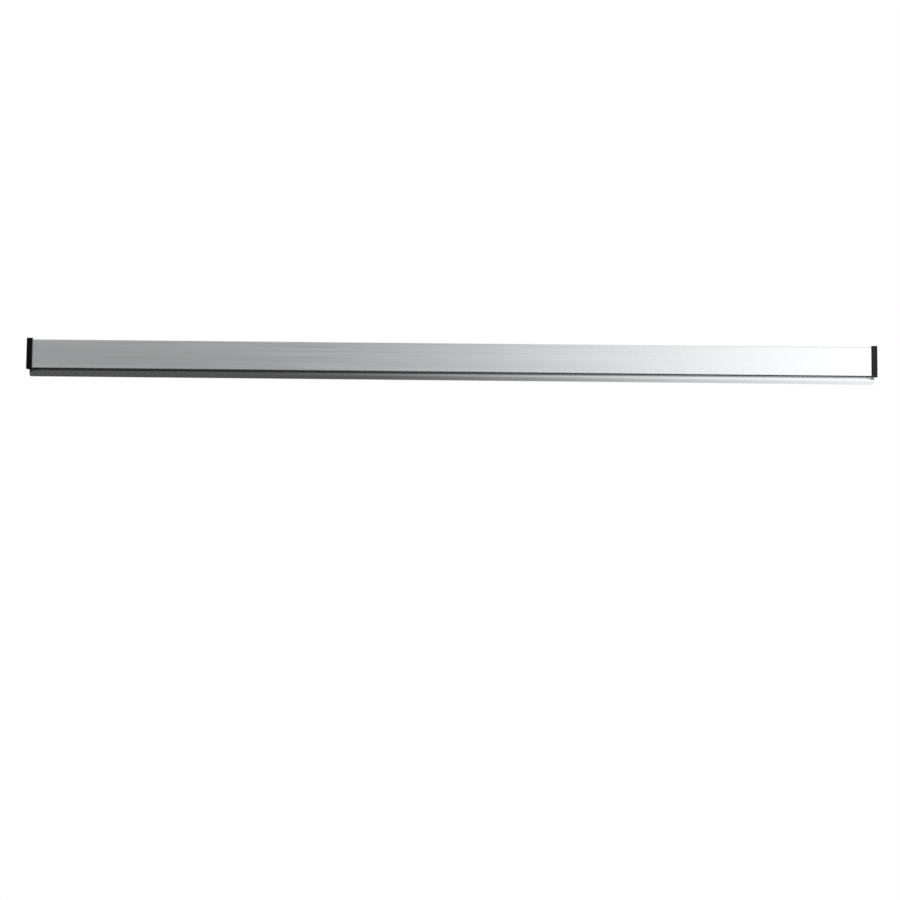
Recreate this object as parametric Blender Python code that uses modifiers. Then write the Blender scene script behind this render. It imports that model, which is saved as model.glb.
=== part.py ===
"""Order ticket rail: a wall rail that grips sheets of paper by their top edge.

An extruded aluminium profile hangs on three wall clips and has a moulded cap on each end.
A sheet is pushed up into the slot behind the front face, past loose rollers that rest
between an inclined ramp and the back web. The sheet's weight pulls the rollers down the
ramp, and they wedge against it.

X runs along the rail, the front faces -Y and Z is up. The wall is the plane y = 0, and the
origin is the middle of the middle clip's back. Outlines are drawn with depth, measured from
the wall, and height, measured from the lower edge of the front face.
"""

import math

import bmesh
import bpy
from mathutils import Matrix, Vector

MM = 0.001

# Profile
RAIL_LENGTH = 1000 * MM
FACE_HEIGHT = 34 * MM
FACE_DEPTH = 18.5 * MM
NOSE_DROP = 8.1 * MM
WEB_DEPTH = 7.2 * MM
WALL = 1.4 * MM
SLOT = 6.3 * MM
LIP_RISE = 1.0 * MM
RAMP_ANGLE = math.radians(30)
RAMP_WALL = 1.2 * MM
STOP_RISE = 12.2 * MM
STOP_WALL = 1.2 * MM
WALL_GAP = 0.3 * MM
HOOK_WALL = 1.3 * MM
HOOK_LIP = 2.6 * MM
NOSE_ROUND = 5.0 * MM
NOSE_INNER_ROUND = 3.2 * MM
NOSE_CORNER = 1.2 * MM
TOP_ROUND = 0.8 * MM
EDGE_ROUND = 0.5 * MM
RAMP_ROUND = 0.55 * MM
LIP_ROUND = 0.4 * MM
FILLET = 0.3 * MM

# Rollers
ROLLER_COUNT = 20
ROLLER_RADIUS = 3.5 * MM
ROLLER_CHAMFER = 0.4 * MM
ROLLER_SPACE = 0.8 * MM
DIMPLE_RADIUS = 1.3 * MM
DIMPLE_DEPTH = 0.6 * MM
ROLLER_SIDES = 20

# End caps
CAP_WIDTH = 7 * MM
CAP_END = 2 * MM
CAP_RIM = 1.4 * MM
CAP_EDGE = 1.0 * MM
CAP_DROP = 1.6 * MM
CAP_DROP_WIDTH = 4 * MM
CAP_BACK_RISE = 1.4 * MM
CAP_FRONT_ROUND = 1.4 * MM
CAP_BACK_ROUND = 1.2 * MM
PLUG_REACH = 12 * MM
BUFFER_REACH = 8 * MM
BUFFER_DROP = 0.8 * MM
PLUG_PLAY = 0.45 * MM
PLUG_WALL = 1.4 * MM
PLUG_DRAFT = 0.97
RIB_REACH = 8 * MM
RIB_HEIGHT = 0.15 * MM
RIB_WIDTH = 0.8 * MM
LONG_SIDE_RIBS = (0.25, 0.75)
SHORT_SIDE_RIBS = (0.5,)

# Wall clips
CLIP_WIDTH = 40 * MM
CLIP_SPACING = 380 * MM
CLIP_SHEET = 1.5 * MM
CLIP_CORNER = 4 * MM
CLIP_BEND = 0.6 * MM
SCREW_SPACING = 24 * MM
SCREW_HOLE_RADIUS = 2.25 * MM
COUNTERSINK_RADIUS = 3.4 * MM
COUNTERSINK_DEPTH = 0.9 * MM

# Fits and facets
CLEARANCE = 0.3 * MM
OVERRUN = 1 * MM
ARC_STEP = math.radians(22.5)
LARGE_ROUND = 3 * MM
LARGE_ARC_STEP = math.radians(11.25)
SHARP_ANGLE = math.radians(30)
HOLE_SIDES = 24
WELD = 0.001 * MM

# What follows from them
ORIGIN_HEIGHT = (FACE_HEIGHT - NOSE_DROP) / 2
HALF_LENGTH = RAIL_LENGTH / 2
SKIRT_DEPTH = FACE_DEPTH - WALL
LIP_DEPTH = WEB_DEPTH + SLOT
RAMP_TOP = LIP_RISE + (SKIRT_DEPTH - LIP_DEPTH) / math.tan(RAMP_ANGLE)
TOP_INSIDE = FACE_HEIGHT - WALL
NOSE_INSIDE = WALL - NOSE_DROP
CHAMBER = [
    Vector((WEB_DEPTH, STOP_RISE + STOP_WALL)),
    Vector((WEB_DEPTH, TOP_INSIDE)),
    Vector((SKIRT_DEPTH, TOP_INSIDE)),
    Vector((SKIRT_DEPTH, STOP_RISE + STOP_WALL)),
]


def clear_scene():
    """Remove every object that the file opened with."""
    for thing in list(bpy.data.objects):
        bpy.data.objects.remove(thing, do_unlink=True)


def new_collection(name):
    """A collection linked to the scene."""
    collection = bpy.data.collections.new(name)
    bpy.context.scene.collection.children.link(collection)
    return collection


def new_material(name, colour, metallic, roughness):
    """A plain Principled material."""
    material = bpy.data.materials.new(name)
    material.use_nodes = True
    shader = material.node_tree.nodes["Principled BSDF"]
    shader.inputs["Base Color"].default_value = (*colour, 1)
    shader.inputs["Metallic"].default_value = metallic
    shader.inputs["Roughness"].default_value = roughness
    return material


def rounded(corners):
    """The (depth, height) points of an outline whose corners carry a radius each."""
    points = []
    for index, (depth, height, radius) in enumerate(corners):
        corner = Vector((depth, height))
        if not radius:
            points.append(corner)
            continue
        before = (Vector(corners[index - 1][:2]) - corner).normalized()
        after = (Vector(corners[(index + 1) % len(corners)][:2]) - corner).normalized()
        half = before.angle(after) / 2
        centre = corner + (before + after).normalized() * radius / math.sin(half)
        first = corner + before * radius / math.tan(half) - centre
        last = corner + after * radius / math.tan(half) - centre
        turn = math.copysign(math.pi - 2 * half, first.x * last.y - first.y * last.x)
        arc_step = LARGE_ARC_STEP if radius > LARGE_ROUND else ARC_STEP
        steps = max(1, round(abs(turn) / arc_step))
        for step in range(steps + 1):
            points.append(centre + Matrix.Rotation(turn * step / steps, 2) @ first)
    return points


def inset(outline, distance):
    """An outline, drawn clockwise in depth and height, with every side moved inward."""
    lines = []
    for index, point in enumerate(outline):
        run = (outline[(index + 1) % len(outline)] - point).normalized()
        inward = Vector((run.y, -run.x))
        lines.append((point + inward * distance, run))
    corners = []
    for index, (point, run) in enumerate(lines):
        other, other_run = lines[index - 1]
        gap = point - other
        reach = (gap.x * run.y - gap.y * run.x) / (other_run.x * run.y - other_run.y * run.x)
        corners.append(other + other_run * reach)
    return corners


def extrude(name, outline, start, end, across=False):
    """A solid of one flat outline, run along X or across from the wall.

    Along X the points are (depth, height). Across, they are (x, height), and start and end
    are depths.
    """
    curve = bpy.data.curves.new(f"{name}_outline", "CURVE")
    curve.dimensions = "2D"
    curve.fill_mode = "BOTH"
    curve.extrude = abs(end - start) / 2
    spline = curve.splines.new("POLY")
    spline.points.add(len(outline) - 1)
    spline.use_cyclic_u = True
    spline.use_smooth = False
    for point, (along, height) in zip(spline.points, outline):
        point.co = (along if across else -along, height - ORIGIN_HEIGHT, 0, 1)
    flat = bpy.data.objects.new(f"{name}_outline", curve)
    bpy.context.scene.collection.objects.link(flat)
    middle = (start + end) / 2
    if across:
        flat.matrix_world = Matrix.Translation((0, -middle, 0)) @ Matrix.Rotation(math.pi / 2, 4, "X")
    else:
        upright = Matrix(((0, 0, 1, 0), (1, 0, 0, 0), (0, 1, 0, 0), (0, 0, 0, 1)))
        flat.matrix_world = Matrix.Translation((middle, 0, 0)) @ upright
    bpy.context.view_layer.update()
    evaluated = flat.evaluated_get(bpy.context.evaluated_depsgraph_get())
    mesh = bpy.data.meshes.new_from_object(evaluated)
    mesh.name = name
    shape = bmesh.new()
    shape.from_mesh(mesh)
    bmesh.ops.remove_doubles(shape, verts=shape.verts, dist=WELD)
    bmesh.ops.recalc_face_normals(shape, faces=shape.faces)
    shape.to_mesh(mesh)
    shape.free()
    solid = bpy.data.objects.new(name, mesh)
    solid.matrix_world = flat.matrix_world
    bpy.data.objects.remove(flat, do_unlink=True)
    return solid


def lathe(name, line, sides):
    """A mesh turned about Z from (radius, z) points that run down its outer side."""
    wire = bpy.data.meshes.new(f"{name}_line")
    edges = [(index, index + 1) for index in range(len(line) - 1)]
    wire.from_pydata([(radius, 0, z) for radius, z in line], edges, [])
    turned = bpy.data.objects.new(f"{name}_line", wire)
    bpy.context.scene.collection.objects.link(turned)
    screw = turned.modifiers.new("lathe", "SCREW")
    screw.steps = sides
    screw.render_steps = sides
    screw.use_merge_vertices = True
    screw.merge_threshold = WELD
    bpy.context.view_layer.update()
    evaluated = turned.evaluated_get(bpy.context.evaluated_depsgraph_get())
    mesh = bpy.data.meshes.new_from_object(evaluated)
    mesh.name = name
    mesh.shade_smooth()
    mesh.set_sharp_from_angle(angle=SHARP_ANGLE)
    bpy.data.objects.remove(turned, do_unlink=True)
    return mesh


def boolean(target, tool, operation):
    """Cut target with tool, or join tool to it, and put tool with the cutters."""
    cutters.objects.link(tool)
    tool.hide_render = True
    tool.display_type = "WIRE"
    modifier = target.modifiers.new(tool.name, "BOOLEAN")
    modifier.operation = operation
    modifier.object = tool


def finish(part, material):
    """Put a finished sub-part in the rail's collection with its material."""
    part.data.materials.clear()
    part.data.materials.append(material)
    rail.objects.link(part)


def corner_cutter(name, x, height, radius, side, rise, start, end):
    """A cutter that rounds one corner of a face seen from the front.

    The corner is at (x, height). side is 1 where the part lies at lower x, and rise is 1
    where it lies above the corner.
    """
    arc = []
    steps = round(math.pi / 2 / ARC_STEP)
    for step in range(steps + 1):
        angle = math.pi / 2 * step / steps
        along = x - side * radius * (1 - math.sin(angle))
        up = height + rise * radius * (1 - math.cos(angle))
        arc.append((along, up))
    outside = x + side * OVERRUN
    below = height - rise * OVERRUN
    arc += [(outside, arc[-1][1]), (outside, below), (arc[0][0], below)]
    return extrude(name, arc, start, end, across=True)


def profile_outline():
    """The profile's section from outside, which is open at the slot and behind the web."""
    ramp_back = RAMP_WALL * math.cos(RAMP_ANGLE)
    ramp_down = RAMP_WALL * math.sin(RAMP_ANGLE)
    groove_top = RAMP_TOP - RAMP_WALL / math.sin(RAMP_ANGLE)
    hook_front = WALL_GAP + HOOK_WALL
    web_back = WEB_DEPTH - WALL
    return rounded([
        (FACE_DEPTH, 0, EDGE_ROUND),
        (FACE_DEPTH, FACE_HEIGHT, TOP_ROUND),
        (WALL_GAP, FACE_HEIGHT, EDGE_ROUND),
        (WALL_GAP, TOP_INSIDE - HOOK_LIP, LIP_ROUND),
        (hook_front, TOP_INSIDE - HOOK_LIP, LIP_ROUND),
        (hook_front, TOP_INSIDE, FILLET),
        (web_back, TOP_INSIDE, FILLET),
        (web_back, NOSE_INSIDE, NOSE_INNER_ROUND),
        (hook_front, NOSE_INSIDE, FILLET),
        (hook_front, NOSE_INSIDE + HOOK_LIP, LIP_ROUND),
        (WALL_GAP, NOSE_INSIDE + HOOK_LIP, LIP_ROUND),
        (WALL_GAP, -NOSE_DROP, EDGE_ROUND),
        (WEB_DEPTH, -NOSE_DROP, NOSE_ROUND),
        (WEB_DEPTH, STOP_RISE, LIP_ROUND),
        (SKIRT_DEPTH, STOP_RISE, LIP_ROUND),
        (SKIRT_DEPTH, RAMP_TOP, LIP_ROUND),
        (LIP_DEPTH, LIP_RISE, RAMP_ROUND),
        (LIP_DEPTH + ramp_back, LIP_RISE - ramp_down, RAMP_ROUND),
        (SKIRT_DEPTH, groove_top, LIP_ROUND),
        (SKIRT_DEPTH, 0, LIP_ROUND),
    ])


def make_profile(material):
    """The aluminium extrusion, with the lower corners of its nose eased at both ends."""
    profile = extrude("rail_profile", profile_outline(), -HALF_LENGTH, HALF_LENGTH)
    chamber = rounded([(depth, height, EDGE_ROUND) for depth, height in CHAMBER])
    past = HALF_LENGTH + OVERRUN
    boolean(profile, extrude("chamber", chamber, -past, past), "DIFFERENCE")
    for side in (-1, 1):
        cutter = corner_cutter(
            f"nose_corner_{side}", side * HALF_LENGTH, -NOSE_DROP, NOSE_CORNER,
            side, 1, -OVERRUN, WEB_DEPTH + OVERRUN,
        )
        boolean(profile, cutter, "DIFFERENCE")
    finish(profile, material)


def buffer_outline():
    """The cap's leg in the roller channel, which closes the slot's end.

    The last roller runs up against it, and its foot shows a little under the face.
    """
    foot = -BUFFER_DROP - PLUG_PLAY
    channel = [
        Vector((WEB_DEPTH, foot)),
        Vector((WEB_DEPTH, STOP_RISE)),
        Vector((SKIRT_DEPTH, STOP_RISE)),
        Vector((SKIRT_DEPTH, RAMP_TOP)),
        Vector((LIP_DEPTH, LIP_RISE)),
        Vector((LIP_DEPTH, foot)),
    ]
    return inset(channel, PLUG_PLAY)


def make_leg(name, outline, free, root, bottom):
    """A hollow leg of a cap from its free end to its root, narrowed to the free end.

    The hollow is open at the free end and stops at bottom, the inside of the end wall.
    """
    leg = extrude(name, outline, free, root)
    mouth = free - math.copysign(OVERRUN, root)
    hollow = extrude(f"{name}_hollow", inset(outline, PLUG_WALL), mouth, bottom)
    middle = sum(outline, Vector((0, 0))) / len(outline)
    for vertex in leg.data.vertices:
        place = Vector((-vertex.co.x, vertex.co.y + ORIGIN_HEIGHT))
        if abs((leg.matrix_world @ vertex.co).x - free) < WELD:
            place = middle + (place - middle) * PLUG_DRAFT
        vertex.co.xy = (-place.x, place.y - ORIGIN_HEIGHT)
    boolean(leg, hollow, "DIFFERENCE")
    return leg


def join_crush_ribs(cap, name, start, end):
    """Crush ribs along the plug, two on each long side and one on each short side."""
    leg = inset(CHAMBER, PLUG_PLAY)
    for index, corner in enumerate(leg):
        run = leg[(index + 1) % len(leg)] - corner
        outward = Vector((-run.y, run.x)).normalized() * RIB_HEIGHT
        half_rib = run.normalized() * RIB_WIDTH / 2
        for place in SHORT_SIDE_RIBS if index % 2 else LONG_SIDE_RIBS:
            foot = corner + run * place
            rib = [
                foot - half_rib - outward * 2,
                foot - half_rib,
                foot - half_rib / 2 + outward,
                foot + half_rib / 2 + outward,
                foot + half_rib,
                foot + half_rib - outward * 2,
            ]
            boolean(cap, extrude(f"{name}_rib_{index}_{place}", rib, start, end), "UNION")


def make_cap(name, side, material):
    """A moulded end cap: an end wall with a rim over the top and the face, and two legs.

    Its outer part drops below the face, and from there its underside rises to the wall.
    """
    end_inside = HALF_LENGTH + CLEARANCE
    outside = end_inside + CAP_END
    front = FACE_DEPTH + CLEARANCE + CAP_RIM
    top = FACE_HEIGHT + CLEARANCE + CAP_RIM
    lowest = -CLEARANCE - CAP_DROP
    block = rounded([
        (front, lowest, CAP_FRONT_ROUND),
        (front, top, CAP_FRONT_ROUND),
        (WALL_GAP, top, CAP_BACK_ROUND),
        (WALL_GAP, CAP_BACK_RISE, CAP_BACK_ROUND),
        (SKIRT_DEPTH, lowest, CAP_FRONT_ROUND),
    ])
    cap = extrude(name, block, side * (outside - CAP_WIDTH), side * outside)
    shape = bmesh.new()
    shape.from_mesh(cap.data)
    bmesh.ops.dissolve_limit(shape, angle_limit=ARC_STEP / 4, verts=shape.verts, edges=shape.edges)
    shape.to_mesh(cap.data)
    shape.free()
    bevel = cap.modifiers.new("edges", "BEVEL")
    bevel.width = CAP_EDGE
    bevel.segments = 3
    bevel.limit_method = "ANGLE"
    bevel.angle_limit = 2 * ARC_STEP
    bevel.use_clamp_overlap = False
    pocket = rounded([
        (-OVERRUN, -CLEARANCE, 0),
        (FACE_DEPTH + CLEARANCE, -CLEARANCE, 0),
        (FACE_DEPTH + CLEARANCE, FACE_HEIGHT + CLEARANCE, TOP_ROUND),
        (-OVERRUN, FACE_HEIGHT + CLEARANCE, 0),
    ])
    mouth = side * (outside - CAP_WIDTH - OVERRUN)
    bottom = side * end_inside
    boolean(cap, extrude(f"{name}_pocket", pocket, mouth, bottom), "DIFFERENCE")
    under_rim = [
        (-OVERRUN, lowest - OVERRUN),
        (front + OVERRUN, lowest - OVERRUN),
        (front + OVERRUN, -CLEARANCE),
        (-OVERRUN, -CLEARANCE),
    ]
    drop_start = side * (outside - CAP_DROP_WIDTH)
    boolean(cap, extrude(f"{name}_under_rim", under_rim, mouth, drop_start), "DIFFERENCE")
    root = side * (end_inside + CAP_END / 2)
    for leg_name, outline, reach in (
        ("plug", inset(CHAMBER, PLUG_PLAY), PLUG_REACH),
        ("buffer", buffer_outline(), BUFFER_REACH),
    ):
        free = side * (HALF_LENGTH - reach)
        boolean(cap, make_leg(f"{name}_{leg_name}", outline, free, root, bottom), "UNION")
    join_crush_ribs(cap, name, side * (HALF_LENGTH - RIB_REACH), root)
    finish(cap, material)


def make_rollers(material):
    """Solid rubber rollers with a dimple in each end, in a row on the ramp at rest."""
    room = 2 * (HALF_LENGTH - BUFFER_REACH)
    pitch = (room - ROLLER_SPACE) / ROLLER_COUNT
    half = (pitch - ROLLER_SPACE) / 2
    upper = [
        (0, half - DIMPLE_DEPTH),
        (DIMPLE_RADIUS - DIMPLE_DEPTH / 2, half - DIMPLE_DEPTH),
        (DIMPLE_RADIUS, half),
        (ROLLER_RADIUS - ROLLER_CHAMFER, half),
        (ROLLER_RADIUS, half - ROLLER_CHAMFER),
    ]
    line = upper + [(radius, -along) for radius, along in reversed(upper)]
    mesh = lathe("roller", line, ROLLER_SIDES)
    mesh.materials.append(material)
    reach = ROLLER_RADIUS + CLEARANCE
    depth = WEB_DEPTH + reach
    off_ramp = reach - (LIP_DEPTH - depth) * math.cos(RAMP_ANGLE)
    height = LIP_RISE + off_ramp / math.sin(RAMP_ANGLE)
    for number in range(ROLLER_COUNT):
        roller = bpy.data.objects.new(f"roller_{number + 1:02d}", mesh)
        along = (number + 0.5) * pitch - ROLLER_COUNT * pitch / 2
        roller.location = (along, -depth, height - ORIGIN_HEIGHT)
        roller.rotation_euler = (0, math.pi / 2, 0)
        rail.objects.link(roller)


def clip_outline():
    """The clip's folded sheet: flat on the wall, with a tongue behind each of the rail's lips."""
    tongue = WALL_GAP + HOOK_WALL + CLEARANCE
    tip = TOP_INSIDE - CLEARANCE - ORIGIN_HEIGHT
    fold = TOP_INSIDE - HOOK_LIP - CLEARANCE - HOOK_WALL - WALL_GAP - ORIGIN_HEIGHT
    inner_fold = fold - CLIP_SHEET * math.tan(math.pi / 8)
    upper = [
        (0, fold, CLIP_BEND),
        (tongue, fold + tongue, CLIP_BEND),
        (tongue, tip, FILLET),
        (tongue + CLIP_SHEET, tip, FILLET),
        (tongue + CLIP_SHEET, inner_fold + tongue, CLIP_BEND),
        (CLIP_SHEET, inner_fold, CLIP_BEND),
    ]
    lower = [(depth, -height, radius) for depth, height, radius in reversed(upper)]
    return rounded([(d, h + ORIGIN_HEIGHT, r) for d, h, r in upper + lower])


def screw_cutter(name, x):
    """A countersunk hole through the clip, wide at the front, as one turned cutter."""
    slope = (COUNTERSINK_RADIUS - SCREW_HOLE_RADIUS) / COUNTERSINK_DEPTH
    line = [
        (0, CLIP_SHEET + OVERRUN),
        (COUNTERSINK_RADIUS + slope * OVERRUN, CLIP_SHEET + OVERRUN),
        (SCREW_HOLE_RADIUS, CLIP_SHEET - COUNTERSINK_DEPTH),
        (SCREW_HOLE_RADIUS, -OVERRUN),
        (0, -OVERRUN),
    ]
    cutter = bpy.data.objects.new(name, lathe(name, line, HOLE_SIDES))
    cutter.location = (x, 0, 0)
    cutter.rotation_euler = (math.pi / 2, 0, 0)
    return cutter


def make_clip(name, middle, material):
    """A folded steel wall clip with rounded tongues and two countersunk screw holes."""
    half = CLIP_WIDTH / 2
    tip = TOP_INSIDE - CLEARANCE
    clip = extrude(name, clip_outline(), middle - half, middle + half)
    for side in (-1, 1):
        for rise, height in ((-1, tip), (1, 2 * ORIGIN_HEIGHT - tip)):
            cutter = corner_cutter(
                f"{name}_corner_{side}_{rise}", middle + side * half, height, CLIP_CORNER,
                side, rise, -OVERRUN, WEB_DEPTH,
            )
            boolean(clip, cutter, "DIFFERENCE")
        hole = middle + side * SCREW_SPACING / 2
        boolean(clip, screw_cutter(f"{name}_hole_{side}", hole), "DIFFERENCE")
    finish(clip, material)


clear_scene()
rail = new_collection("order_ticket_rail")
cutters = new_collection("cutters")
aluminium = new_material("anodised_aluminium", (0.56, 0.56, 0.57), 1, 0.36)
cap_plastic = new_material("moulded_black_plastic", (0.012, 0.013, 0.013), 0, 0.42)
roller_rubber = new_material("roller_rubber", (0.016, 0.016, 0.017), 0, 0.6)
clip_steel = new_material("zinc_plated_steel", (0.5, 0.51, 0.53), 1, 0.38)

make_profile(aluminium)
make_cap("end_cap_left", -1, cap_plastic)
make_cap("end_cap_right", 1, cap_plastic)
make_rollers(roller_rubber)
make_clip("wall_clip_left", -CLIP_SPACING, clip_steel)
make_clip("wall_clip_middle", 0, clip_steel)
make_clip("wall_clip_right", CLIP_SPACING, clip_steel)
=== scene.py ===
"""Order ticket rail: the finished look of a wall rail that grips sheets of paper."""

import math

import bmesh
import bpy
from mathutils import Matrix, Vector


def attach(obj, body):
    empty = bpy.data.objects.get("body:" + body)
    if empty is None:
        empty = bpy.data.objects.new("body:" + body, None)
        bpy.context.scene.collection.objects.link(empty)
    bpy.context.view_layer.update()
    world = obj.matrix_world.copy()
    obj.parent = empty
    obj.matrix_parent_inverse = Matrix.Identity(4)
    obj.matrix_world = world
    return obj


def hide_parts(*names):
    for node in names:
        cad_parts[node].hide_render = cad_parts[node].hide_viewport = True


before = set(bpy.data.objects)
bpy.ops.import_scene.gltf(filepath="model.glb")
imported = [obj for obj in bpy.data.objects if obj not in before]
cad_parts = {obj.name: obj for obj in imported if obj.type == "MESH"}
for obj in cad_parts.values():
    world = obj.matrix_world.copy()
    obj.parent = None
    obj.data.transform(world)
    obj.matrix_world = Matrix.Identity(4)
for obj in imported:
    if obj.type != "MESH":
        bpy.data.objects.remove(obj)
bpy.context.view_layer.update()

# Rail profile
# One aluminium extrusion with its front face, slot, ramp, sealed chamber and rear hooks. Its
# face is brushed along its length, and then all of it is clear anodised.
MM = 0.001
RAIL_LENGTH = 1000 * MM
FACE_HEIGHT = 34 * MM
FACE_DEPTH = 18.5 * MM
NOSE_DROP = 8.1 * MM
WEB_DEPTH = 7.2 * MM
WALL = 1.4 * MM
SLOT = 6.3 * MM
LIP_RISE = 1.0 * MM
RAMP_ANGLE = math.radians(30)
RAMP_WALL = 1.2 * MM
STOP_RISE = 12.2 * MM
STOP_WALL = 1.2 * MM
WALL_GAP = 0.3 * MM
HOOK_WALL = 1.3 * MM
HOOK_LIP = 2.6 * MM
NOSE_CORNER = 1.2 * MM
NOSE_ROUND = 5.0 * MM
NOSE_INNER_ROUND = 3.2 * MM
TOP_ROUND = 0.8 * MM
EDGE_ROUND = 0.5 * MM
RAMP_ROUND = 0.55 * MM
LIP_ROUND = 0.4 * MM
FILLET = 0.3 * MM
CLEARANCE = 0.3 * MM
# A cutter runs PAST what it cuts, and points closer than WELD become one point.
PAST = 1 * MM
WELD = 0.001 * MM
ARC_STEP = math.radians(7.5)
SHARP_ANGLE = math.radians(30)
# Outlines give the depth from the wall and the height above the face's lower edge. The
# origin lies on the wall, midway between the profile's top and the underside of the nose.
ORIGIN_HEIGHT = (FACE_HEIGHT - NOSE_DROP) / 2
HALF_LENGTH = RAIL_LENGTH / 2
SKIRT_DEPTH = FACE_DEPTH - WALL
LIP_DEPTH = WEB_DEPTH + SLOT
RAMP_TOP = LIP_RISE + (SKIRT_DEPTH - LIP_DEPTH) / math.tan(RAMP_ANGLE)
TOP_INSIDE = FACE_HEIGHT - WALL
NOSE_INSIDE = WALL - NOSE_DROP


def linear(hex_colour):
    """The linear RGBA of an sRGB colour written as rrggbb."""
    channels = [int(hex_colour[place:place + 2], 16) / 255 for place in (0, 2, 4)]
    return (*[c / 12.92 if c <= 0.04045 else ((c + 0.055) / 1.055) ** 2.4 for c in channels], 1)


def add(tree, kind, settings=None, sockets=None):
    """Add a node: its settings, then its input sockets, each a value or the outputs to link."""
    node = tree.nodes.new(kind)
    for name, value in (settings or {}).items():
        setattr(node, name, value)
    for key, value in (sockets or {}).items():
        socket = node.inputs[key]
        sources = value if isinstance(value, list) else [value]
        for source in sources:
            if isinstance(source, bpy.types.NodeSocket):
                tree.links.new(source, socket)
            else:
                socket.default_value = source
    return node


def new_tree(name, inputs):
    """An empty geometry tree with its named inputs, and its input node."""
    tree = bpy.data.node_groups.new(name, "GeometryNodeTree")
    tree.interface.new_socket("Geometry", in_out="INPUT", socket_type="NodeSocketGeometry")
    for label, kind in inputs.items():
        tree.interface.new_socket(label, in_out="INPUT", socket_type=f"NodeSocket{kind}")
    tree.interface.new_socket("Geometry", in_out="OUTPUT", socket_type="NodeSocketGeometry")
    return tree, tree.nodes.new("NodeGroupInput").outputs


def evaluated_mesh(thing):
    """The plain mesh that an object's modifiers give."""
    bpy.context.view_layer.update()
    graph = bpy.context.evaluated_depsgraph_get()
    mesh = bpy.data.meshes.new_from_object(
        thing.evaluated_get(graph), preserve_all_data_layers=True, depsgraph=graph
    )
    mesh.name = thing.name
    return mesh


def grown(name, lines, tree, values, closed=True):
    """The object that a geometry tree makes of lines of points, as a plain mesh."""
    points, edges = [], []
    for line in lines:
        first = len(points)
        points += [(*point, 0) for point in line]
        edges += [(first + i, first + i + 1) for i in range(len(line) - 1)]
        if closed:
            edges.append((first + len(line) - 1, first))
    wire = bpy.data.meshes.new(f"{name}_wire")
    wire.from_pydata(points, edges, [])
    thing = bpy.data.objects.new(name, wire)
    bpy.context.scene.collection.objects.link(thing)
    modifier = thing.modifiers.new("grow", "NODES")
    modifier.node_group = tree
    for label, value in values.items():
        modifier[tree.interface.items_tree[label].identifier] = value
    mesh = evaluated_mesh(thing)
    thing.modifiers.remove(modifier)
    thing.data = mesh
    bpy.data.meshes.remove(wire)
    if mesh.materials[0] is None:
        used = [face.material_index - 1 for face in mesh.polygons]
        mesh.materials.pop(index=0)
        mesh.polygons.foreach_set("material_index", used)
    return thing


def rounded(corners):
    """The (depth, height) points of an outline whose corners carry a radius each."""
    points = []
    for index, (depth, height, radius) in enumerate(corners):
        corner = Vector((depth, height))
        if not radius:
            points.append(corner)
            continue
        before = (Vector(corners[index - 1][:2]) - corner).normalized()
        after = (Vector(corners[(index + 1) % len(corners)][:2]) - corner).normalized()
        half = before.angle(after) / 2
        centre = corner + (before + after).normalized() * radius / math.sin(half)
        first = corner + before * radius / math.tan(half) - centre
        last = corner + after * radius / math.tan(half) - centre
        turn = math.copysign(math.pi - 2 * half, first.x * last.y - first.y * last.x)
        steps = max(1, round(abs(turn) / ARC_STEP))
        for step in range(steps + 1):
            points.append(centre + Matrix.Rotation(turn * step / steps, 2) @ first)
    return points


def extrusion_tree():
    """A section drawn as closed loops, filled, run along X and laid up from the wall.

    What lies in front of Face Depth takes Face Finish, and the rest takes Finish.
    """
    tree, given = new_tree("extruded_section", {
        "Start": "Float", "End": "Float", "Face Depth": "Float",
        "Finish": "Material", "Face Finish": "Material",
    })
    length = add(tree, "ShaderNodeMath", {"operation": "SUBTRACT"}, {0: given["End"], 1: given["Start"]})
    loops = add(tree, "GeometryNodeMeshToCurve", None, {0: given["Geometry"]})
    near = add(tree, "GeometryNodeFillCurve", {"mode": "NGONS"}, {0: loops.outputs[0]})
    run = add(tree, "GeometryNodeExtrudeMesh", None, {
        "Mesh": near.outputs[0], "Offset Scale": length.outputs[0], "Individual": False,
    })
    turned = add(tree, "GeometryNodeFlipFaces", None, {0: near.outputs[0]})
    both = add(tree, "GeometryNodeJoinGeometry", None, {0: [run.outputs["Mesh"], turned.outputs[0]]})
    closed = add(tree, "GeometryNodeMergeByDistance", None, {0: both.outputs[0], "Distance": WELD})
    place = add(tree, "ShaderNodeCombineXYZ", None, {"X": given["Start"]})
    laid = add(tree, "GeometryNodeTransform", None, {
        "Geometry": closed.outputs[0],
        "Translation": place.outputs[0],
        "Rotation": (math.pi / 2, 0, math.pi / 2),
    })
    position = add(tree, "GeometryNodeInputPosition")
    parts = add(tree, "ShaderNodeSeparateXYZ", None, {0: position.outputs[0]})
    depth = add(tree, "ShaderNodeMath", {"operation": "MULTIPLY"}, {0: parts.outputs["Y"], 1: -1.0})
    front = add(tree, "ShaderNodeMath", {"operation": "GREATER_THAN"}, {
        0: depth.outputs[0], 1: given["Face Depth"],
    })
    whole = add(tree, "GeometryNodeRealizeInstances", None, {0: laid.outputs[0]})
    finish = add(tree, "GeometryNodeSetMaterial", None, {
        "Geometry": whole.outputs[0], "Material": given["Finish"],
    })
    face = add(tree, "GeometryNodeSetMaterial", None, {
        "Geometry": finish.outputs[0],
        "Selection": front.outputs[0],
        "Material": given["Face Finish"],
    })
    add(tree, "NodeGroupOutput", None, {0: face.outputs[0]})
    return tree


extruded_section = extrusion_tree()
# A depth that no piece reaches, so that nothing takes the face finish.
NO_FACE = 1.0


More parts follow.
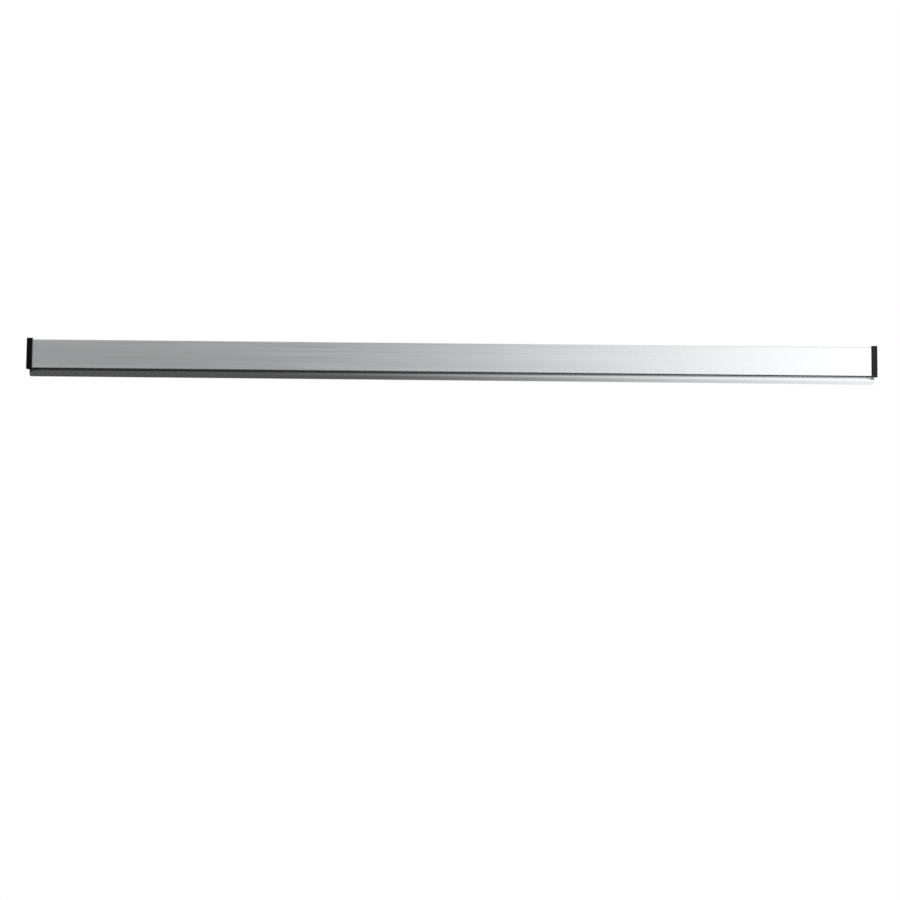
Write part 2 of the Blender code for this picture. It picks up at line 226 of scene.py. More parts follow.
def extrusion(name, outlines, start, end, finish, face_finish=None, face_depth=NO_FACE):
    """A solid of (depth, height) outlines run along X."""
    loops = [[(-depth, height - ORIGIN_HEIGHT) for depth, height in line] for line in outlines]
    return grown(name, loops, extruded_section, {
        "Start": start, "End": end, "Face Depth": face_depth,
        "Finish": finish, "Face Finish": face_finish or finish,
    })


def combine(target, tool, operation):
    """Cut target with tool or join tool to it, and drop the tool."""
    modifier = target.modifiers.new(operation.lower(), "BOOLEAN")
    modifier.operation = operation
    modifier.object = tool
    mesh = evaluated_mesh(target)
    target.modifiers.remove(modifier)
    target.data = mesh
    bpy.data.objects.remove(tool, do_unlink=True)


def settle(piece, body, nodes):
    """Clean and shade a finished piece, and hand it to its body in place of its CAD nodes."""
    shape = bmesh.new()
    shape.from_mesh(piece.data)
    bmesh.ops.remove_doubles(shape, verts=shape.verts, dist=WELD)
    bmesh.ops.dissolve_degenerate(shape, edges=shape.edges, dist=WELD)
    shape.to_mesh(piece.data)
    shape.free()
    piece.data.shade_smooth()
    piece.data.set_sharp_from_angle(angle=SHARP_ANGLE)
    weighted = piece.modifiers.new("even_shading", "WEIGHTED_NORMAL")
    weighted.keep_sharp = True
    mesh = evaluated_mesh(piece)
    piece.modifiers.remove(weighted)
    piece.data = mesh
    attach(piece, body)
    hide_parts(*nodes)


def face_cutter(name, x, height, radius, side, rise, start, end, finish):
    """A cutter that rounds a corner at (x, height) of what is seen from the front."""
    steps = round(math.pi / 2 / ARC_STEP)
    arc = []
    for step in range(steps + 1):
        angle = math.pi / 2 * step / steps
        along = x - side * radius * (1 - math.sin(angle))
        up = height + rise * radius * (1 - math.cos(angle))
        arc.append((along, up))
    outside = x + side * PAST
    below = height - rise * PAST
    arc += [(outside, arc[-1][1]), (outside, below), (arc[0][0], below)]
    cutter = grown(name, [[(along, up - ORIGIN_HEIGHT) for along, up in arc]], extruded_section, {
        "Start": start, "End": end, "Face Depth": NO_FACE, "Finish": finish, "Face Finish": finish,
    })
    cutter.data.transform(Matrix.Rotation(-math.pi / 2, 4, "Z"))
    return cutter


def new_finish(name):
    """A material with an empty node tree, its output and its shader."""
    material = bpy.data.materials.new(name)
    material.use_nodes = True
    tree = material.node_tree
    tree.nodes.clear()
    shader = add(tree, "ShaderNodeBsdfPrincipled")
    add(tree, "ShaderNodeOutputMaterial", None, {"Surface": shader.outputs[0]})
    return material, tree, shader


def streaks(tree, grain, detail, contrast):
    """Noise on Object coordinates whose grains have the given size in metres along X, Y, Z."""
    place = add(tree, "ShaderNodeTexCoord")
    sized = add(tree, "ShaderNodeMapping", None, {
        "Vector": place.outputs["Object"], "Scale": tuple(1 / size for size in grain),
    })
    noise = add(tree, "ShaderNodeTexNoise", None, {
        "Vector": sized.outputs[0], "Scale": 1.0, "Detail": detail, "Roughness": 0.6,
    })
    half = contrast / 2
    return add(tree, "ShaderNodeMapRange", None, {
        "Value": noise.outputs["Fac"], "From Min": 0.5 - half, "From Max": 0.5 + half,
    }).outputs[0]


def along_rail(tree):
    """The direction of the rail as a tangent, which brushed and drawn metal shines across."""
    axis = add(tree, "ShaderNodeCombineXYZ", None, {"X": 1.0})
    return add(tree, "ShaderNodeVectorTransform", {
        "vector_type": "VECTOR", "convert_from": "OBJECT", "convert_to": "WORLD",
    }, {0: axis.outputs[0]}).outputs[0]


# The sockets of a Mix node that take its two colours, and the one that gives the result
MIX_LOW = 6
MIX_HIGH = 7
MIX_COLOUR = 2
# How much of the brushed pattern comes from its wide bands, and not from its fine lines
BAND_SHARE = 0.6


def brushed_anodised_aluminium():
    """Aluminium brushed along its length with a fine belt, then clear anodised.

    The lines spread reflections up and down into soft bands, with faint long streaks. Real
    lines are 0.05 to 0.2 mm wide. They are drawn 0.22 mm wide, and because these don't show
    from 3 m, a second set is drawn as bands 1.6 mm wide.
    """
    material, tree, shader = new_finish("brushed_anodised_aluminium")
    fine = streaks(tree, grain=(60 * MM, 0.22 * MM, 0.22 * MM), detail=4.0, contrast=0.5)
    bands = streaks(tree, grain=(220 * MM, 1.6 * MM, 1.6 * MM), detail=3.0, contrast=0.5)
    thin = add(tree, "ShaderNodeMath", {"operation": "MULTIPLY"}, {0: fine, 1: 1 - BAND_SHARE})
    share = add(tree, "ShaderNodeMath", {"operation": "MULTIPLY_ADD"}, {
        0: bands, 1: BAND_SHARE, 2: thin.outputs[0],
    })
    rough = add(tree, "ShaderNodeMapRange", None, {
        "Value": share.outputs[0], "To Min": 0.24, "To Max": 0.46,
    })
    bump = add(tree, "ShaderNodeBump", None, {
        "Strength": 0.5, "Distance": 0.02 * MM, "Height": share.outputs[0],
    })
    colour = add(tree, "ShaderNodeMix", {"data_type": "RGBA"}, {
        0: share.outputs[0], MIX_LOW: linear("BEBFC0"), MIX_HIGH: linear("D3D4D5"),
    })
    tree.links.new(colour.outputs[MIX_COLOUR], shader.inputs["Base Color"])
    tree.links.new(rough.outputs[0], shader.inputs["Roughness"])
    tree.links.new(bump.outputs[0], shader.inputs["Normal"])
    tree.links.new(along_rail(tree), shader.inputs["Tangent"])
    shader.inputs["Metallic"].default_value = 1.0
    shader.inputs["Anisotropic"].default_value = 0.6
    shader.inputs["Anisotropic Rotation"].default_value = 0.25
    return material


def die_lined_anodised_aluminium():
    """Aluminium as it left the extrusion die, clear anodised.

    It mirrors more sharply than the brushed face, with faint lines where the die dragged.
    They are typically some tenths of a millimetre apart, and are drawn at 0.5 mm.
    """
    material, tree, shader = new_finish("die_lined_anodised_aluminium")
    lines = streaks(tree, grain=(400 * MM, 0.5 * MM, 0.5 * MM), detail=3.0, contrast=0.5)
    rough = add(tree, "ShaderNodeMapRange", None, {"Value": lines, "To Min": 0.13, "To Max": 0.18})
    bump = add(tree, "ShaderNodeBump", None, {"Strength": 0.12, "Distance": 0.02 * MM, "Height": lines})
    colour = add(tree, "ShaderNodeMix", {"data_type": "RGBA"}, {
        0: lines, MIX_LOW: linear("BABBBC"), MIX_HIGH: linear("C1C2C3"),
    })
    tree.links.new(colour.outputs[MIX_COLOUR], shader.inputs["Base Color"])
    tree.links.new(rough.outputs[0], shader.inputs["Roughness"])
    tree.links.new(bump.outputs[0], shader.inputs["Normal"])
    tree.links.new(along_rail(tree), shader.inputs["Tangent"])
    shader.inputs["Metallic"].default_value = 1.0
    shader.inputs["Anisotropic"].default_value = 0.25
    shader.inputs["Anisotropic Rotation"].default_value = 0.25
    return material


hook_front = WALL_GAP + HOOK_WALL
web_back = WEB_DEPTH - WALL
ramp_back = RAMP_WALL * math.cos(RAMP_ANGLE)
ramp_down = RAMP_WALL * math.sin(RAMP_ANGLE)
groove_top = RAMP_TOP - RAMP_WALL / math.sin(RAMP_ANGLE)
PROFILE_OUTLINE = rounded([
    (FACE_DEPTH, 0, EDGE_ROUND),
    (FACE_DEPTH, FACE_HEIGHT, TOP_ROUND),
    (WALL_GAP, FACE_HEIGHT, EDGE_ROUND),
    (WALL_GAP, TOP_INSIDE - HOOK_LIP, LIP_ROUND),
    (hook_front, TOP_INSIDE - HOOK_LIP, LIP_ROUND),
    (hook_front, TOP_INSIDE, FILLET),
    (web_back, TOP_INSIDE, FILLET),
    (web_back, NOSE_INSIDE, NOSE_INNER_ROUND),
    (hook_front, NOSE_INSIDE, FILLET),
    (hook_front, NOSE_INSIDE + HOOK_LIP, LIP_ROUND),
    (WALL_GAP, NOSE_INSIDE + HOOK_LIP, LIP_ROUND),
    (WALL_GAP, -NOSE_DROP, EDGE_ROUND),
    (WEB_DEPTH, -NOSE_DROP, NOSE_ROUND),
    (WEB_DEPTH, STOP_RISE, LIP_ROUND),
    (SKIRT_DEPTH, STOP_RISE, LIP_ROUND),
    (SKIRT_DEPTH, RAMP_TOP, LIP_ROUND),
    (LIP_DEPTH, LIP_RISE, RAMP_ROUND),
    (LIP_DEPTH + ramp_back, LIP_RISE - ramp_down, RAMP_ROUND),
    (SKIRT_DEPTH, groove_top, LIP_ROUND),
    (SKIRT_DEPTH, 0, LIP_ROUND),
])
CHAMBER = [
    Vector((WEB_DEPTH, STOP_RISE + STOP_WALL)),
    Vector((WEB_DEPTH, TOP_INSIDE)),
    Vector((SKIRT_DEPTH, TOP_INSIDE)),
    Vector((SKIRT_DEPTH, STOP_RISE + STOP_WALL)),
]
brushed_face = brushed_anodised_aluminium()
die_lined = die_lined_anodised_aluminium()
profile = extrusion(
    "extruded_profile",
    [PROFILE_OUTLINE, rounded([(depth, height, EDGE_ROUND) for depth, height in CHAMBER])],
    -HALF_LENGTH, HALF_LENGTH, die_lined, brushed_face, FACE_DEPTH - EDGE_ROUND,
)
for side in (-1, 1):
    combine(profile, face_cutter(
        "nose_corner", side * HALF_LENGTH, -NOSE_DROP, NOSE_CORNER, side, 1,
        -PAST, WEB_DEPTH + PAST, die_lined,
    ), "DIFFERENCE")
settle(profile, "rail", ["rail_profile"])

# End caps
# Black plastic mouldings pushed into the profile's ends, held by crush ribs on a hollow plug.
# A rim covers the cut edge of the face and the top, and the outer part drops below the face.
CAP_WIDTH = 7 * MM
CAP_END = 2 * MM
CAP_RIM = 1.4 * MM
CAP_EDGE = 1.0 * MM
CAP_DROP = 1.6 * MM
CAP_DROP_WIDTH = 4 * MM
CAP_BACK_RISE = 1.4 * MM
CAP_FRONT_ROUND = 1.4 * MM
CAP_BACK_ROUND = 1.2 * MM
PLUG_REACH = 12 * MM
BUFFER_REACH = 8 * MM
BUFFER_DROP = 0.8 * MM
PLUG_PLAY = 0.45 * MM
PLUG_WALL = 1.4 * MM
PLUG_DRAFT = 0.97
RIB_REACH = 8 * MM
RIB_HEIGHT = 0.15 * MM
RIB_WIDTH = 0.8 * MM
LONG_SIDE_RIBS = (0.25, 0.75)
SHORT_SIDE_RIBS = (0.5,)
MOULD_EDGE_STEPS = 8
MOULD_EDGE_ANGLE = math.radians(45)


def moulded_black_plastic():
    """Injection-moulded black ABS with a very fine spark-eroded grain from the mould.

    It keeps a dim, soft shine, in faint clouds left by the flow of the plastic. Real grain
    is about 0.05 mm wide and is drawn at 0.12 mm.
    """
    material, tree, shader = new_finish("moulded_black_plastic")
    grain = streaks(tree, grain=(0.12 * MM, 0.12 * MM, 0.12 * MM), detail=2.0, contrast=0.6)
    cloud = streaks(tree, grain=(4 * MM, 4 * MM, 4 * MM), detail=2.0, contrast=0.6)
    rough = add(tree, "ShaderNodeMapRange", None, {"Value": cloud, "To Min": 0.14, "To Max": 0.20})
    bump = add(tree, "ShaderNodeBump", None, {"Strength": 0.2, "Distance": 0.01 * MM, "Height": grain})
    colour = add(tree, "ShaderNodeMix", {"data_type": "RGBA"}, {
        0: cloud, MIX_LOW: linear("040505"), MIX_HIGH: linear("080909"),
    })
    tree.links.new(colour.outputs[MIX_COLOUR], shader.inputs["Base Color"])
    tree.links.new(rough.outputs[0], shader.inputs["Roughness"])
    tree.links.new(bump.outputs[0], shader.inputs["Normal"])
    shader.inputs["IOR"].default_value = 1.5
    shader.inputs["Specular IOR Level"].default_value = 0.16
    return material


def inset(outline, distance):
    """An outline, drawn clockwise in depth and height, with every side moved inward."""
    lines = []
    for index, point in enumerate(outline):
        run = (outline[(index + 1) % len(outline)] - point).normalized()
        lines.append((point + Vector((run.y, -run.x)) * distance, run))
    corners = []
    for index, (point, run) in enumerate(lines):
        other, other_run = lines[index - 1]
        gap = point - other
        reach = (gap.x * run.y - gap.y * run.x) / (other_run.x * run.y - other_run.y * run.x)
        corners.append(other + other_run * reach)
    return corners


black_plastic = moulded_black_plastic()
FOOT = -BUFFER_DROP - PLUG_PLAY
BUFFER_CHANNEL = [
    Vector((WEB_DEPTH, FOOT)),
    Vector((WEB_DEPTH, STOP_RISE)),
    Vector((SKIRT_DEPTH, STOP_RISE)),
    Vector((SKIRT_DEPTH, RAMP_TOP)),
    Vector((LIP_DEPTH, LIP_RISE)),
    Vector((LIP_DEPTH, FOOT)),
]
inside = HALF_LENGTH + CLEARANCE
outside = inside + CAP_END
root = inside + CAP_END / 2
mouth = outside - CAP_WIDTH - PAST
front = FACE_DEPTH + CLEARANCE + CAP_RIM
top = FACE_HEIGHT + CLEARANCE + CAP_RIM
lowest = -CLEARANCE - CAP_DROP
cap = extrusion("moulded_cap_right", [rounded([
    (front, lowest, CAP_FRONT_ROUND),
    (front, top, CAP_FRONT_ROUND),
    (WALL_GAP, top, CAP_BACK_ROUND),
    (WALL_GAP, CAP_BACK_RISE, CAP_BACK_ROUND),
    (SKIRT_DEPTH, lowest, CAP_FRONT_ROUND),
])], outside - CAP_WIDTH, outside, black_plastic)
bevel = cap.modifiers.new("mould_edge", "BEVEL")
bevel.width = CAP_EDGE
bevel.segments = MOULD_EDGE_STEPS
bevel.limit_method = "ANGLE"
bevel.angle_limit = MOULD_EDGE_ANGLE
bevel.use_clamp_overlap = False
cap.data = evaluated_mesh(cap)
cap.modifiers.clear()
pocket = rounded([
    (-PAST, -CLEARANCE, 0),
    (FACE_DEPTH + CLEARANCE, -CLEARANCE, 0),
    (FACE_DEPTH + CLEARANCE, FACE_HEIGHT + CLEARANCE, TOP_ROUND),
    (-PAST, FACE_HEIGHT + CLEARANCE, 0),
])
combine(cap, extrusion("pocket", [pocket], mouth, inside, black_plastic), "DIFFERENCE")
under_rim = [
    (-PAST, lowest - PAST),
    (front + PAST, lowest - PAST),
    (front + PAST, -CLEARANCE),
    (-PAST, -CLEARANCE),
]
drop_start = outside - CAP_DROP_WIDTH
combine(cap, extrusion("under_rim", [under_rim], mouth, drop_start, black_plastic), "DIFFERENCE")
plug = inset(CHAMBER, PLUG_PLAY)
for outline, reach in ((plug, PLUG_REACH), (inset(BUFFER_CHANNEL, PLUG_PLAY), BUFFER_REACH)):
    free = HALF_LENGTH - reach
    leg = extrusion("leg", [outline], free, root, black_plastic)
    middle = sum(outline, Vector((0, 0))) / len(outline)
    for vertex in leg.data.vertices:
        if abs(vertex.co.x - free) < WELD:
            vertex.co.y = -middle.x + (vertex.co.y + middle.x) * PLUG_DRAFT
            rise = middle.y - ORIGIN_HEIGHT
            vertex.co.z = rise + (vertex.co.z - rise) * PLUG_DRAFT
    combine(cap, leg, "UNION")
    hollow = extrusion("hollow", [inset(outline, PLUG_WALL)], free - PAST, inside, black_plastic)
    combine(cap, hollow, "DIFFERENCE")
for index, corner in enumerate(plug):
    edge = plug[(index + 1) % len(plug)] - corner
    outward = Vector((-edge.y, edge.x)).normalized() * RIB_HEIGHT
    half_rib = edge.normalized() * RIB_WIDTH / 2
    sunk = outward * 2
    for share in SHORT_SIDE_RIBS if index % 2 else LONG_SIDE_RIBS:
        foot = corner + edge * share
        rib = [
            foot - half_rib - sunk,
            foot - half_rib,
            foot - half_rib / 2 + outward,
            foot + half_rib / 2 + outward,
            foot + half_rib,
            foot + half_rib - sunk,
        ]
        crush_rib = extrusion("crush_rib", [rib], HALF_LENGTH - RIB_REACH, root, black_plastic)
        combine(cap, crush_rib, "UNION")
left_cap = bpy.data.objects.new("moulded_cap_left", cap.data.copy())
left_cap.data.transform(Matrix.Scale(-1, 4, (1, 0, 0)))
left_cap.data.flip_normals()
bpy.context.scene.collection.objects.link(left_cap)
settle(left_cap, "rail", ["end_cap_left"])
settle(cap, "rail", ["end_cap_right"])

# Rollers
# Twenty loose rods of black rubber, ground round, with eased edges and a dimple in each end.
# They lie in the channel on the ramp, and slide up it when a sheet is pushed in.
ROLLER_COUNT = 20
ROLLER_RADIUS = 3.5 * MM
ROLLER_CHAMFER = 0.4 * MM
ROLLER_SPACE = 0.8 * MM
DIMPLE_RADIUS = 1.3 * MM
DIMPLE_DEPTH = 0.6 * MM
DIMPLE_ROUND = 0.1 * MM
ROLLER_ROUND = 0.2 * MM
ROLLER_SIDES = 48
# The radius of the circle that a half section is swept round. The section's points are drawn
# this much nearer the axis, which brings the solid to its true radius.
HUB = 1 * MM


def ground_rubber():
    """Black nitrile rubber, cured and ground to size between wheels.

    Grinding leaves fine rings and a dull grey bloom. The rings are about 0.1 mm apart and are
    drawn at 0.3 mm.
    """
    material, tree, shader = new_finish("ground_rubber")
    rings = streaks(tree, grain=(0.3 * MM, 9 * MM, 9 * MM), detail=3.0, contrast=0.6)
    bloom = streaks(tree, grain=(5 * MM, 3 * MM, 3 * MM), detail=3.0, contrast=0.6)
    rough = add(tree, "ShaderNodeMapRange", None, {"Value": bloom, "To Min": 0.58, "To Max": 0.74})
    bump = add(tree, "ShaderNodeBump", None, {"Strength": 0.4, "Distance": 0.02 * MM, "Height": rings})
    colour = add(tree, "ShaderNodeMix", {"data_type": "RGBA"}, {
        0: bloom, MIX_LOW: linear("1B1B1C"), MIX_HIGH: linear("28282A"),
    })
    tree.links.new(colour.outputs[MIX_COLOUR], shader.inputs["Base Color"])
    tree.links.new(rough.outputs[0], shader.inputs["Roughness"])
    tree.links.new(bump.outputs[0], shader.inputs["Normal"])
    shader.inputs["IOR"].default_value = 1.52
    return material


def lathe_tree():
    """A half section drawn as (radius, along) points, turned about X and moved to its place."""
    tree, given = new_tree("turned_section", {
        "Place": "Vector", "Turn": "Rotation", "Sides": "Int", "Finish": "Material",
    })
    section = add(tree, "GeometryNodeMeshToCurve", None, {0: given["Geometry"]})
    hub = add(tree, "GeometryNodeCurvePrimitiveCircle", {"mode": "RADIUS"}, {
        "Resolution": given["Sides"], "Radius": HUB,
    })
    turned = add(tree, "GeometryNodeCurveToMesh", None, {0: hub.outputs[0], 1: section.outputs[0]})
    outward = add(tree, "GeometryNodeFlipFaces", None, {0: turned.outputs[0]})
    closed = add(tree, "GeometryNodeMergeByDistance", None, {0: outward.outputs[0], "Distance": WELD})
    whole = add(tree, "GeometryNodeRealizeInstances", None, {0: closed.outputs[0]})
    laid = add(tree, "GeometryNodeTransform", None, {
        "Geometry": whole.outputs[0], "Translation": given["Place"], "Rotation": given["Turn"],
    })
    finish = add(tree, "GeometryNodeSetMaterial", None, {
        "Geometry": laid.outputs[0], "Material": given["Finish"],
    })
    add(tree, "NodeGroupOutput", None, {0: finish.outputs[0]})
    return tree


turned_section = lathe_tree()


def turned(name, line, place, turn, sides, finish):
    """A solid of a (radius, along) line that runs down its outer side, turned about an axis."""
    return grown(name, [[(radius - HUB, along) for radius, along in line]], turned_section, {
        "Place": place, "Turn": turn, "Sides": sides, "Finish": finish,
    }, closed=False)


rubber = ground_rubber()
pitch = (2 * (HALF_LENGTH - BUFFER_REACH) - ROLLER_SPACE) / ROLLER_COUNT
half_roller = (pitch - ROLLER_SPACE) / 2
upper_end = [
    (0, half_roller - DIMPLE_DEPTH, 0),
    (DIMPLE_RADIUS - DIMPLE_DEPTH / 2, half_roller - DIMPLE_DEPTH, DIMPLE_ROUND),
    (DIMPLE_RADIUS, half_roller, DIMPLE_ROUND),
    (ROLLER_RADIUS - ROLLER_CHAMFER, half_roller, ROLLER_ROUND),
    (ROLLER_RADIUS, half_roller - ROLLER_CHAMFER, ROLLER_ROUND),
]
lower_end = [(radius, -along, rounding) for radius, along, rounding in reversed(upper_end)]
roller_line = rounded(upper_end + lower_end)
off = ROLLER_RADIUS + CLEARANCE
roller_depth = WEB_DEPTH + off
off_ramp = off - (LIP_DEPTH - roller_depth) * math.cos(RAMP_ANGLE)
roller_height = LIP_RISE + off_ramp / math.sin(RAMP_ANGLE)
for number in range(ROLLER_COUNT):
    place = ((number + 0.5 - ROLLER_COUNT / 2) * pitch, -roller_depth, roller_height - ORIGIN_HEIGHT)
    name = f"rubber_roller_{number + 1:02d}"
    roller = turned(name, roller_line, place, (0, math.pi / 2, 0), ROLLER_SIDES, rubber)
    settle(roller, f"roller_{number + 1:02d}", [f"roller_{number + 1:02d}"])

# Wall clips
# Three clips of 1.5 mm steel sheet, blanked, folded and then zinc plated. Each is screwed to
# the wall by two countersunk holes, and the rail snaps on its tongues.
CLIP_WIDTH = 40 * MM
CLIP_SPACING = 380 * MM
CLIP_SHEET = 1.5 * MM
CLIP_CORNER = 4 * MM
CLIP_BEND = 0.6 * MM
FOLD_ANGLE = math.radians(45)
SCREW_SPACING = 24 * MM
SCREW_HOLE_RADIUS = 2.25 * MM
COUNTERSINK_RADIUS = 3.4 * MM
COUNTERSINK_DEPTH = 0.9 * MM
HOLE_SIDES = 64


def electroplated_steel_sheet():
    """Cold-rolled steel sheet, electroplated with zinc and passivated.

    It is a cool grey with a soft cloudy shine, and the rolling shows through as short lines,
    drawn 0.4 mm wide.
    """
    material, tree, shader = new_finish("electroplated_steel_sheet")
    cloud = streaks(tree, grain=(6 * MM, 6 * MM, 3 * MM), detail=4.0, contrast=0.5)
    lines = streaks(tree, grain=(12 * MM, 0.4 * MM, 0.4 * MM), detail=3.0, contrast=0.5)
    rough = add(tree, "ShaderNodeMapRange", None, {"Value": cloud, "To Min": 0.30, "To Max": 0.46})
    bump = add(tree, "ShaderNodeBump", None, {"Strength": 0.3, "Distance": 0.02 * MM, "Height": lines})
    colour = add(tree, "ShaderNodeMix", {"data_type": "RGBA"}, {
        0: cloud, MIX_LOW: linear("AEB3B9"), MIX_HIGH: linear("C3C6C8"),
    })
    tree.links.new(colour.outputs[MIX_COLOUR], shader.inputs["Base Color"])
    tree.links.new(rough.outputs[0], shader.inputs["Roughness"])
    tree.links.new(bump.outputs[0], shader.inputs["Normal"])
    shader.inputs["Metallic"].default_value = 1.0
    return material


zinc = electroplated_steel_sheet()
tongue = WALL_GAP + HOOK_WALL + CLEARANCE
tip = TOP_INSIDE - CLEARANCE - ORIGIN_HEIGHT
fold = TOP_INSIDE - HOOK_LIP - CLEARANCE - HOOK_WALL - WALL_GAP - ORIGIN_HEIGHT
inner_fold = fold - CLIP_SHEET * math.tan(FOLD_ANGLE / 2)
upper_half = [
    (0, fold, CLIP_BEND),
    (tongue, fold + tongue, CLIP_BEND),
    (tongue, tip, FILLET),
    (tongue + CLIP_SHEET, tip, FILLET),
    (tongue + CLIP_SHEET, inner_fold + tongue, CLIP_BEND),
    (CLIP_SHEET, inner_fold, CLIP_BEND),
]
lower_half = [(depth, -height, rounding) for depth, height, rounding in reversed(upper_half)]
clip_outline = rounded([
    (depth, height + ORIGIN_HEIGHT, rounding) for depth, height, rounding in upper_half + lower_half
])
slope = (COUNTERSINK_RADIUS - SCREW_HOLE_RADIUS) / COUNTERSINK_DEPTH
hole_line = [
    (0, CLIP_SHEET + PAST),
    (COUNTERSINK_RADIUS + slope * PAST, CLIP_SHEET + PAST),
    (SCREW_HOLE_RADIUS, CLIP_SHEET - COUNTERSINK_DEPTH),
    (SCREW_HOLE_RADIUS, -PAST),
    (0, -PAST),
]
half = CLIP_WIDTH / 2
for name, middle in (("left", -CLIP_SPACING), ("middle", 0.0), ("right", CLIP_SPACING)):
    clip = extrusion(f"folded_clip_{name}", [clip_outline], middle - half, middle + half, zinc)
    for side in (-1, 1):
        for rise in (-1, 1):
            combine(clip, face_cutter(
                "clip_corner", middle + side * half, ORIGIN_HEIGHT - rise * tip, CLIP_CORNER,
                side, rise, -PAST, WEB_DEPTH, zinc,
            ), "DIFFERENCE")
        place = (middle + side * SCREW_SPACING / 2, 0, 0)
        hole = turned("screw_hole", hole_line, place, (math.pi / 2, 0, 0), HOLE_SIDES, zinc)
        combine(clip, hole, "DIFFERENCE")
    settle(clip, "rail", [f"wall_clip_{name}"])

# Studio
# A pale floor under the rail, one large soft lamp at the right, and a white surround. Two
# cards, dark at the left and bright at the right, are seen only in the rail's reflections.
FLOOR_HEIGHT = -2.2
FLOOR_RADIUS = 5.0
FLOOR_CLEAR = 2.0
FLOOR_SIDES = 96


def pale_floor():
    """Matt painted floor that runs out to the white surround."""
    material = bpy.data.materials.new("matt_pale_floor")
    material.use_nodes = True
    tree = material.node_tree
    tree.nodes.clear()
    paint = add(tree, "ShaderNodeBsdfDiffuse", None, {"Color": linear("F4F4F2")})
    clear = add(tree, "ShaderNodeBsdfTransparent")
    place = add(tree, "ShaderNodeTexCoord")
    away = add(tree, "ShaderNodeVectorMath", {"operation": "LENGTH"}, {0: place.outputs["Object"]})
    fade = add(tree, "ShaderNodeMapRange", {"interpolation_type": "SMOOTHSTEP"}, {
        "Value": away.outputs["Value"], "From Min": FLOOR_CLEAR, "From Max": FLOOR_RADIUS,
    })
    mix = add(tree, "ShaderNodeMixShader", None, {
        0: fade.outputs[0], 1: paint.outputs[0], 2: clear.outputs[0],
    })
    add(tree, "ShaderNodeOutputMaterial", None, {"Surface": mix.outputs[0]})
    return material


def board(name, corners, material):
    """A flat stage piece."""
    mesh = bpy.data.meshes.new(name)
    mesh.from_pydata(corners, [], [list(range(len(corners)))])
    mesh.materials.append(material)
    thing = bpy.data.objects.new(name, mesh)
    bpy.context.scene.collection.objects.link(thing)
    return thing


ring = [math.tau * step / FLOOR_SIDES for step in range(FLOOR_SIDES)]
floor = board("floor", [
    (FLOOR_RADIUS * math.cos(angle), FLOOR_RADIUS * math.sin(angle), 0) for angle in ring
], pale_floor())
floor.location.z = FLOOR_HEIGHT

CARD_DISTANCE = 2.2
CARD_REACH = 1.3
CARD_BEHIND = 1.6
CARD_LOW = -1.0
CARD_HIGH = 0.48
GRADE_START = -0.36
GRADE_END = 0.84
GRADE_SLANT = 0.12
CARD_DARK = 0.15
CARD_BRIGHT = 1.9


def graded_card():
    """Card lit from dark at the left to bright at the right, and later so towards the floor."""
    material = bpy.data.materials.new("graded_card")
    material.use_nodes = True
    tree = material.node_tree
    tree.nodes.clear()
    place = add(tree, "ShaderNodeTexCoord")
    slanted = add(tree, "ShaderNodeVectorMath", {"operation": "DOT_PRODUCT"}, {
        0: place.outputs["Object"], 1: (1, 0, GRADE_SLANT),
    })
    across = add(tree, "ShaderNodeMapRange", {"interpolation_type": "SMOOTHSTEP"}, {
        "Value": slanted.outputs["Value"], "From Min": GRADE_START, "From Max": GRADE_END,
        "To Min": CARD_DARK, "To Max": CARD_BRIGHT,
    })
    light = add(tree, "ShaderNodeEmission", None, {"Color": (1, 1, 1, 1), "Strength": across.outputs[0]})
    add(tree, "ShaderNodeOutputMaterial", None, {"Surface": light.outputs[0]})
    return material


card_paint = graded_card()
for name, corners in (
    ("front_card", (
        (-CARD_REACH, -CARD_DISTANCE, CARD_LOW), (CARD_REACH, -CARD_DISTANCE, CARD_LOW),
        (CARD_REACH, -CARD_DISTANCE, CARD_HIGH), (-CARD_REACH, -CARD_DISTANCE, CARD_HIGH),
    )),
    ("low_card", (
        (-CARD_REACH, -CARD_DISTANCE, CARD_LOW), (CARD_REACH, -CARD_DISTANCE, CARD_LOW),
        (CARD_REACH, CARD_BEHIND, CARD_LOW), (-CARD_REACH, CARD_BEHIND, CARD_LOW),
    )),
):
    card = board(name, corners, card_paint)
    card.visible_camera = False
    card.visible_diffuse = False
    card.visible_shadow = False

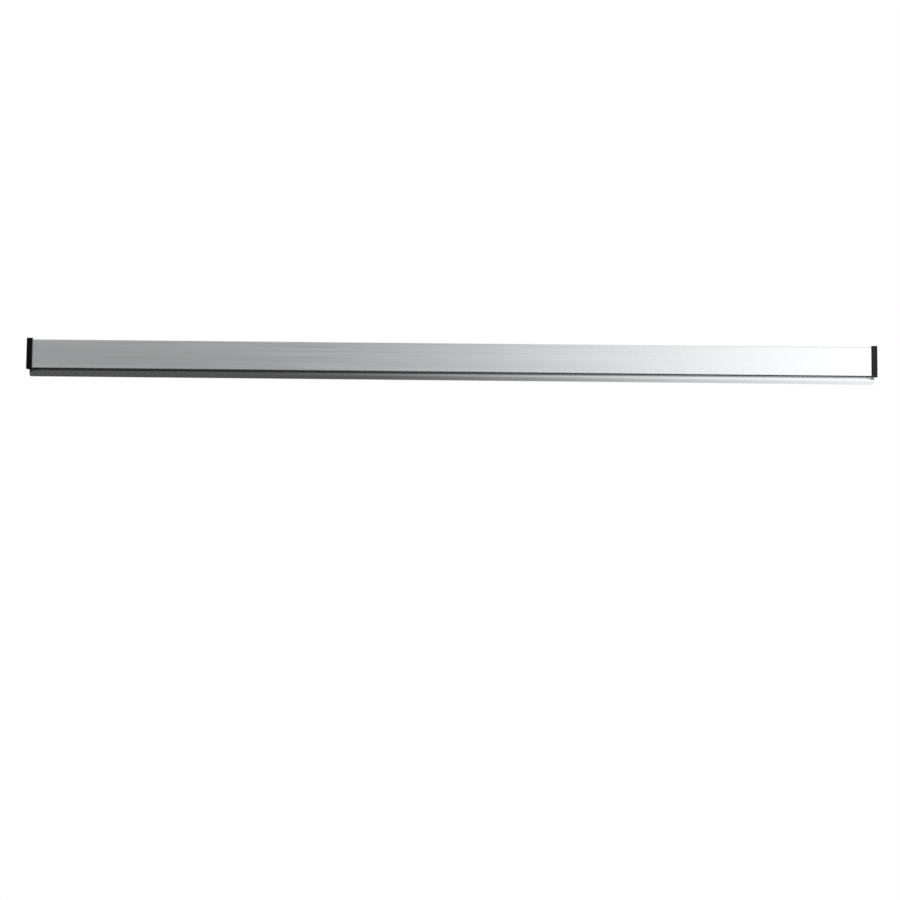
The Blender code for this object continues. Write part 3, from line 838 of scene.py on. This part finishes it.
LAMP_WIDTH = 3.0
LAMP_HEIGHT = 2.6
LAMP_RADIANCE = 1.6
LAMP_PLACE = (2.3, -4.0, 1.1)
lamp = bpy.data.lights.new("softbox", "AREA")
lamp.shape = "RECTANGLE"
lamp.size = LAMP_WIDTH
lamp.size_y = LAMP_HEIGHT
lamp.energy = LAMP_RADIANCE * math.pi * LAMP_WIDTH * LAMP_HEIGHT
softbox = bpy.data.objects.new("softbox", lamp)
softbox.location = LAMP_PLACE
softbox.rotation_mode = "QUATERNION"
softbox.rotation_quaternion = softbox.location.to_track_quat("Z", "Y")
softbox.visible_camera = False
bpy.context.scene.collection.objects.link(softbox)

SURROUND = 0.85
world = bpy.data.worlds.new("white_surround")
bpy.context.scene.world = world
world.use_nodes = True
world.node_tree.nodes.clear()
rays = add(world.node_tree, "ShaderNodeLightPath")
seen = add(world.node_tree, "ShaderNodeMath", {"operation": "MAXIMUM"}, {
    0: rays.outputs["Is Camera Ray"], 1: rays.outputs["Is Glossy Ray"],
})
seen = add(world.node_tree, "ShaderNodeMath", {"operation": "MAXIMUM"}, {
    0: seen.outputs[0], 1: rays.outputs["Is Transmission Ray"],
})
strength = add(world.node_tree, "ShaderNodeMapRange", None, {
    "Value": seen.outputs[0], "To Min": SURROUND,
})
white = add(world.node_tree, "ShaderNodeBackground", None, {
    "Color": (1, 1, 1, 1), "Strength": strength.outputs[0],
})
add(world.node_tree, "ShaderNodeOutputWorld", None, {"Surface": white.outputs[0]})
bpy.context.scene.view_settings.view_transform = "Standard"

# The camera stands about 3 m in front of the rail and below it, and looks up at it.
CAMERA_LENS = 104.9
CAMERA_SENSOR = 36
CAMERA_PLACE = (-0.0012, -3.08, -0.47)
CAMERA_TILT = math.radians(6.78)
CAMERA_ROLL = math.radians(0.56)
camera_data = bpy.data.cameras.new("camera")
camera_data.lens = CAMERA_LENS
camera_data.sensor_width = CAMERA_SENSOR
camera = bpy.data.objects.new("camera", camera_data)
camera.matrix_world = (
    Matrix.Translation(CAMERA_PLACE)
    @ Matrix.Rotation(math.pi / 2 + CAMERA_TILT, 4, "X")
    @ Matrix.Rotation(CAMERA_ROLL, 4, "Z")
)
bpy.context.scene.collection.objects.link(camera)
bpy.context.scene.camera = camera
